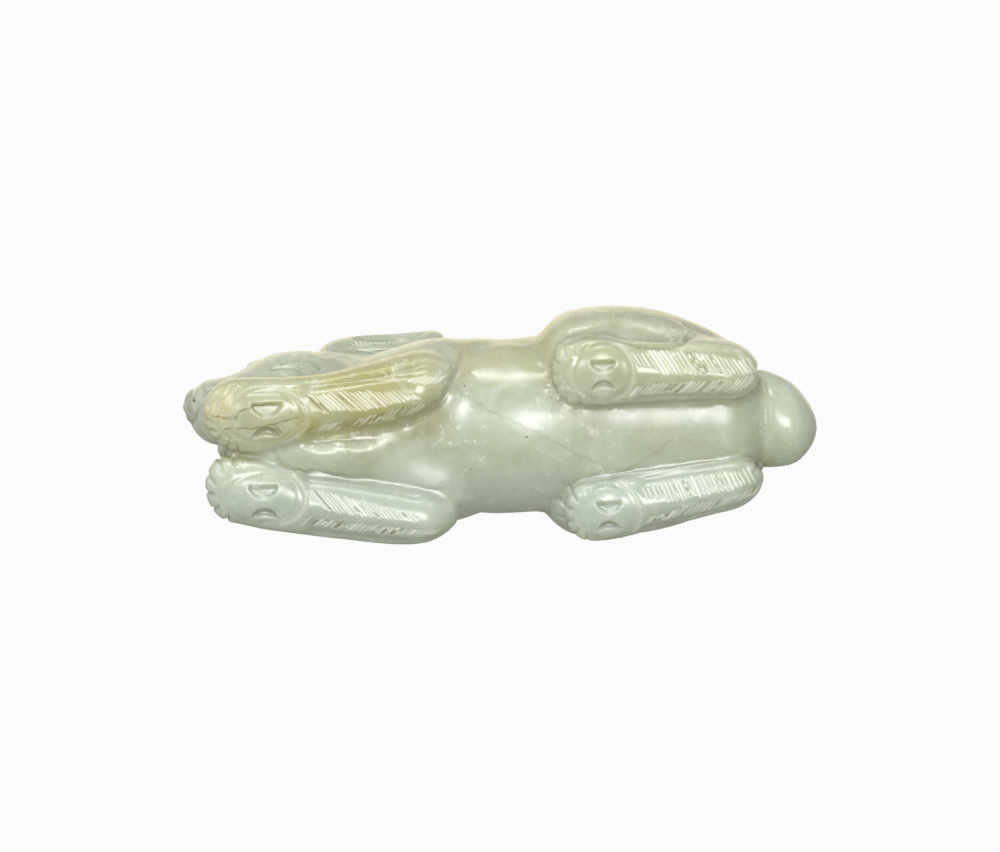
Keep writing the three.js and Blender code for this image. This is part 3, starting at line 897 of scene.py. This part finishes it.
def cool_zone(p):
    """Share of bluish stone: in both right legs."""
    x, y, z = p.T
    return step(-2, -8, x) * step(16, 8, z)


TOE_SKIN = (-48.3, 9.3)
TOE_SKIN_HALVES = (3.4, 2.9)


def toe_skin(p):
    """Share of the cream skin of the pebble, left at the end of the left forepaw."""
    seen = in_photo_plane(p, p[:, 0])
    away = oval(seen[:, 0], seen[:, 1], TOE_SKIN, TOE_SKIN_HALVES)
    return 0.8 * step(1.2, 0.8, away + 0.12 * np.sin(seen[:, 0] * 2.3)) * step(8, 7, p[:, 2])


HOLLOW_REACH = 2.4


def put_shares(mesh, p, facing, cut):
    """Vertex shares for the material: ground cuts, soil, hollowness for painted shade, warm stone and
    painted flank shade, cool stone, cream skin.
    """
    # How hollow each place is; the material darkens hollows and creases with it, as painted shade.
    hollow = 1 - polished_depth(p + facing * HOLLOW_REACH) / HOLLOW_REACH
    shares = {
        "ground": cut.ground,
        "soil": cut.soil,
        "hollow": np.clip(hollow, 0, 1),
        "warm": warm_stone_and_flank_shade(p),
        "cool": cool_zone(p),
        "skin": toe_skin(p),
    }
    for name, values in shares.items():
        layer = mesh.attributes.new(name, "FLOAT", "POINT")
        layer.data.foreach_set("value", values.astype(np.float32))


def make_bear():
    """The solid's even skin, settled on the soft forms, made finer where it is cut, then carved."""
    mesh = skin_of_solid(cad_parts["jade_bear"])
    p = settle(places_of(mesh), 4)
    p = settle(relax(p, mesh, 4), 3)
    put_places(mesh, p)
    refine(mesh, near_soles)
    put_places(mesh, settle(places_of(mesh), 1))
    refine(mesh, near_cuts)
    refine(mesh, near_strokes)
    p = settle(places_of(mesh), 2)
    facing = facing_of(p)
    cut = carved(p, facing)
    put_shares(mesh, p, facing, cut)
    p = p - facing * cut.depth[:, None]
    p[:, 2] = np.maximum(p[:, 2], FLOOR_SKIN)
    put_places(mesh, p)
    mesh.polygons.foreach_set("use_smooth", [True] * len(mesh.polygons))
    bear = bpy.data.objects.new("jade_bear_carving", mesh)
    bpy.context.scene.collection.objects.link(bear)
    return bear


bear = make_bear()


def linear(hex_colour):
    """An sRGB hex colour as linear RGBA."""
    channels = [int(hex_colour[i:i + 2], 16) / 255 for i in (1, 3, 5)]
    return [c / 12.92 if c <= 0.04045 else ((c + 0.055) / 1.055) ** 2.4 for c in channels] + [1]


def add_node(tree, kind, links=None, **settings):
    """Adds a node; settings are attributes or input values, links go from a socket to a named input."""
    node = tree.nodes.new(kind)
    for name, value in settings.items():
        if hasattr(node, name):
            setattr(node, name, value)
        else:
            node.inputs[name.replace("_", " ")].default_value = value
    for name, socket in (links or {}).items():
        tree.links.new(socket, node.inputs[name])
    return node


# Colours of the stone, from its body to its clouds and zones, and of what lies in its cuts.
BODY_GREY = "#B4BCA6"
BODY_PALE = "#C4CBBB"
BLUISH_STONE = "#B4C0B8"
# The yellow-olive is the stone's own colour in the left foreleg and haunch, and painted shade along the
# upper left flank.
YELLOW_OLIVE_STONE_AND_SHADE = "#B1AD78"
PALE_CLOUD = "#D3D8CC"
MILKY_FLECK = "#E8EAE2"
OLIVE_CLOUD = "#A7AA88"
CREAM_SKIN = "#D2CBA0"
# Painted shade: a dark olive laid into hollows and creases, where shade falls.
PAINTED_HOLLOW_SHADE = "#99965C"
GROUND_STONE = "#FAFAF0"
PIT_BROWN = "#6A5630"
RUSSET_SOIL = "#7A6128"
PIT_SPACING = 3.2
NEPHRITE_IOR = 1.61
# How far red, green and blue light sink into the stone, in metres.
SINK_DEPTH = (0.0052, 0.0054, 0.0036)


def polished_nephrite():
    """Polished nephrite: light sinks in a few millimetres, and colour drifts through it in clouds."""
    material = bpy.data.materials.new("polished_nephrite_jade")
    material.use_nodes = True
    tree = material.node_tree
    shader = tree.nodes["Principled BSDF"]
    place = add_node(tree, "ShaderNodeTexCoord").outputs["Object"]

    def share(name):
        """A share that the skin carries."""
        return add_node(tree, "ShaderNodeAttribute", attribute_name=name).outputs["Fac"]

    def noise(size_mm, detail, roughness=0.55, distortion=0.0):
        """Clouds of a given size."""
        node = add_node(tree, "ShaderNodeTexNoise", {"Vector": place}, Scale=1 / (size_mm * MM),
                        Detail=detail, Roughness=roughness, Distortion=distortion)
        return node.outputs["Fac"]

    def span(value, low, high, top=1.0):
        """0 at low rising to the top at high."""
        node = add_node(tree, "ShaderNodeMapRange", {"Value": value}, From_Min=low, From_Max=high,
                        To_Max=top)
        return node.outputs["Result"]

    def times(a, b):
        """A share times another share or a number."""
        node = add_node(tree, "ShaderNodeMath", {0: a}, operation="MULTIPLY")
        if isinstance(b, float):
            node.inputs[1].default_value = b
        else:
            tree.links.new(b, node.inputs[1])
        return node.outputs[0]

    def tint(factor, below, above):
        """Mixes a colour over the one below by a factor."""
        node = add_node(tree, "ShaderNodeMix", data_type="RGBA")
        tree.links.new(factor, node.inputs["Factor"])
        for socket, colour in ((node.inputs[6], below), (node.inputs[7], above)):
            if isinstance(colour, str):
                socket.default_value = linear(colour)
            else:
                tree.links.new(colour, socket)
        return node.outputs[2]

    colour = tint(span(noise(16, 5, 0.6, 0.8), 0.38, 0.62), BODY_GREY, BODY_PALE)
    colour = tint(times(share("cool"), 0.6), colour, BLUISH_STONE)
    # Yellow-olive stone, which on the upper left flank is painted shade.
    warm = times(share("warm"), span(noise(9, 4, 0.6), 0.1, 0.55))
    colour = tint(warm, colour, YELLOW_OLIVE_STONE_AND_SHADE)
    colour = tint(span(noise(6, 6, 0.6, 0.8), 0.52, 0.72, 0.6), colour, PALE_CLOUD)
    milky = times(span(noise(1.8, 4, 0.7), 0.56, 0.68, 0.9), span(noise(13, 2), 0.47, 0.6))
    colour = tint(milky, colour, MILKY_FLECK)
    colour = tint(span(noise(22, 3, 0.5, 0.4), 0.5, 0.68, 0.55), colour, OLIVE_CLOUD)
    colour = tint(times(share("skin"), span(noise(2.5, 4), 0.3, 0.7)), colour, CREAM_SKIN)
    # Painted shade: hollows and creases darkened towards olive.
    colour = tint(span(share("hollow"), 0.2, 1.0, 0.55), colour, PAINTED_HOLLOW_SHADE)
    colour = tint(share("ground"), colour, GROUND_STONE)
    pits = add_node(tree, "ShaderNodeTexVoronoi", {"Vector": place}, Scale=1 / (PIT_SPACING * MM))
    pit = times(span(pits.outputs["Distance"], 0.075, 0.045), span(noise(7, 2), 0.52, 0.6))
    colour = tint(times(pit, 0.75), colour, PIT_BROWN)
    colour = tint(times(share("soil"), span(noise(0.9, 4, 0.7), 0.3, 0.5)), colour, RUSSET_SOIL)
    tree.links.new(colour, shader.inputs["Base Color"])

    # The polish is a little uneven, and the ground cuts are matt and let less light in.
    rough = add_node(tree, "ShaderNodeMapRange", {"Value": noise(3, 5, 0.6)}, To_Min=0.17, To_Max=0.36)
    rougher = add_node(tree, "ShaderNodeMath", {0: rough.outputs[0], 1: times(share("ground"), 0.35)},
                       operation="ADD")
    tree.links.new(rougher.outputs[0], shader.inputs["Roughness"])
    shader.inputs["IOR"].default_value = NEPHRITE_IOR
    sunk = add_node(tree, "ShaderNodeMapRange", {"Value": share("ground")}, To_Min=0.85, To_Max=0.15)
    tree.links.new(sunk.outputs["Result"], shader.inputs["Subsurface Weight"])
    shader.inputs["Subsurface Radius"].default_value = SINK_DEPTH
    shader.inputs["Subsurface Scale"].default_value = 1.0
    wavy = add_node(tree, "ShaderNodeBump", {"Height": noise(4.5, 2)}, Strength=0.14, Distance=0.0004)
    fine = add_node(tree, "ShaderNodeBump", {"Height": noise(0.5, 3), "Normal": wavy.outputs[0]},
                    Strength=0.08, Distance=0.00008)
    tree.links.new(fine.outputs[0], shader.inputs["Normal"])
    return material


bear.data.materials.clear()
bear.data.materials.append(polished_nephrite())
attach(bear, "root")
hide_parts("jade_bear")

# The floor is a plain pale sheet at the soles, of matt paper. It shows from above alone, so that
# the camera, which looks at the underside, sees the whole carving through it.
FLOOR_SIDE = 4.0
PAPER_WHITE = "#F2F2F0"


def one_sided_paper():
    """Matt paper that is clear from behind."""
    material = bpy.data.materials.new("matt_white_paper")
    material.use_nodes = True
    tree = material.node_tree
    shader = tree.nodes["Principled BSDF"]
    shader.inputs["Base Color"].default_value = linear(PAPER_WHITE)
    shader.inputs["Roughness"].default_value = 0.9
    side = add_node(tree, "ShaderNodeNewGeometry")
    clear = add_node(tree, "ShaderNodeBsdfTransparent")
    mix = add_node(tree, "ShaderNodeMixShader", {0: side.outputs["Backfacing"]})
    tree.links.new(shader.outputs[0], mix.inputs[1])
    tree.links.new(clear.outputs[0], mix.inputs[2])
    tree.links.new(mix.outputs[0], tree.nodes["Material Output"].inputs["Surface"])
    return material


def make_floor():
    """A square sheet that takes no shadow and throws no light on the stone."""
    mesh = bpy.data.meshes.new("floor")
    half = FLOOR_SIDE / 2
    corners = [(-half, -half, 0), (half, -half, 0), (half, half, 0), (-half, half, 0)]
    mesh.from_pydata(corners, [], [(0, 1, 2, 3)])
    mesh.materials.append(one_sided_paper())
    floor = bpy.data.objects.new("floor", mesh)
    bpy.context.scene.collection.objects.link(floor)
    floor.visible_diffuse = False
    floor.visible_glossy = False
    floor.visible_transmission = False
    floor.visible_shadow = False
    return floor


make_floor()

# The camera looks up at the underside with a long lens, tilted towards the bear's left side and
# rolled a little, so that the head is at the left of the picture and the left side is up.
VIEW_WIDTH = 0.1727
CAMERA_AWAY = 1.2
ROLL = math.radians(2.5)
LOOK_AT = Vector((2.23, 0.08, 6)) * MM


def make_camera():
    """Places the camera, and gives the picture's directions to the right, up and towards the eye."""
    towards = Vector((math.sin(TILT), 0, -math.cos(TILT)))
    up = Vector((math.cos(TILT), 0, math.sin(TILT)))
    right = Vector((0, 1, 0))
    rolled_right = right * math.cos(ROLL) - up * math.sin(ROLL)
    rolled_up = right * math.sin(ROLL) + up * math.cos(ROLL)
    turn = Matrix((rolled_right, rolled_up, towards)).transposed().to_4x4()
    data = bpy.data.cameras.new("camera")
    data.sensor_width = 36
    data.lens = data.sensor_width * CAMERA_AWAY / VIEW_WIDTH
    data.clip_start = 0.01
    data.clip_end = 10
    camera = bpy.data.objects.new("camera", data)
    bpy.context.scene.collection.objects.link(camera)
    camera.matrix_world = Matrix.Translation(LOOK_AT + towards * CAMERA_AWAY) @ turn
    bpy.context.scene.camera = camera
    return rolled_right, rolled_up, towards


view_right, view_up, view_near = make_camera()

# Four softboxes light the stone: a long one above for the bright upper edges, a dim one at the head,
# a broad one near the lens that fills the soles, and a warm one behind that glows through thin stone.
SOFTBOX_AWAY = 0.6
WARM_LIGHT = "#FFEFC0"


def softbox(name, direction, size, power, tint="#FFFFFF", shine=1.0):
    """A rectangular area light, placed by the picture's directions and turned to the bear."""
    data = bpy.data.lights.new(name, "AREA")
    data.shape = "RECTANGLE"
    data.size, data.size_y = size
    data.energy = power
    data.color = linear(tint)[:3]
    data.specular_factor = shine
    light = bpy.data.objects.new(name, data)
    bpy.context.scene.collection.objects.link(light)
    along = view_right * direction[0] + view_up * direction[1] + view_near * direction[2]
    place = LOOK_AT + along.normalized() * SOFTBOX_AWAY
    light.location = place
    light.rotation_euler = (place - LOOK_AT).to_track_quat("Z", "Y").to_euler()


softbox("top_softbox", (-0.15, 1, 0.75), (0.3, 0.09), 1.2, shine=0.7)
softbox("left_softbox", (-0.75, 0.25, 0.65), (0.1, 0.25), 0.6)
softbox("front_softbox", (0.06, -0.14, 1), (0.22, 0.2), 1.85, shine=0.8)
softbox("back_softbox", (0, 0.3, -1), (0.7, 0.4), 0.9, WARM_LIGHT)

# A pale room fills the rest: brighter from the top of the picture, dimmer and a little warm from
# below. The camera itself sees plain white past the carving.
SHADE_BELOW = 0.33
SHADE_ABOVE = 0.55
ROOM_WARM = "#ECE8C8"
ROOM_WHITE = "#FBFBFB"
world = bpy.data.worlds.new("pale_room")
bpy.context.scene.world = world
world.use_nodes = True
background = world.node_tree.nodes["Background"]
sky = world.node_tree
direction = add_node(sky, "ShaderNodeTexCoord")
upward = add_node(sky, "ShaderNodeVectorMath", {0: direction.outputs["Generated"]},
                  operation="DOT_PRODUCT")
upward.inputs[1].default_value = view_up
shade = add_node(sky, "ShaderNodeMapRange", {"Value": upward.outputs["Value"]}, From_Min=-1, From_Max=1,
                 To_Min=SHADE_BELOW, To_Max=SHADE_ABOVE)
warmth = add_node(sky, "ShaderNodeMapRange", {"Value": upward.outputs["Value"]}, From_Min=-0.8,
                  From_Max=0.1)
glow = add_node(sky, "ShaderNodeMix", {"Factor": warmth.outputs["Result"]}, data_type="RGBA")
glow.inputs[6].default_value = linear(ROOM_WARM)
glow.inputs[7].default_value = linear(ROOM_WHITE)
ray = add_node(sky, "ShaderNodeLightPath")
air = add_node(sky, "ShaderNodeMix", data_type="RGBA")
sky.links.new(ray.outputs["Is Camera Ray"], air.inputs["Factor"])
sky.links.new(glow.outputs[2], air.inputs[6])
air.inputs[7].default_value = linear(ROOM_WHITE)
sky.links.new(air.outputs[2], background.inputs["Color"])
strength = add_node(sky, "ShaderNodeMix", {"Factor": ray.outputs["Is Camera Ray"],
                                           "A": shade.outputs["Result"]})
strength.inputs["B"].default_value = 1.0
sky.links.new(strength.outputs["Result"], background.inputs["Strength"])
bpy.context.scene.view_settings.view_transform = "Standard"
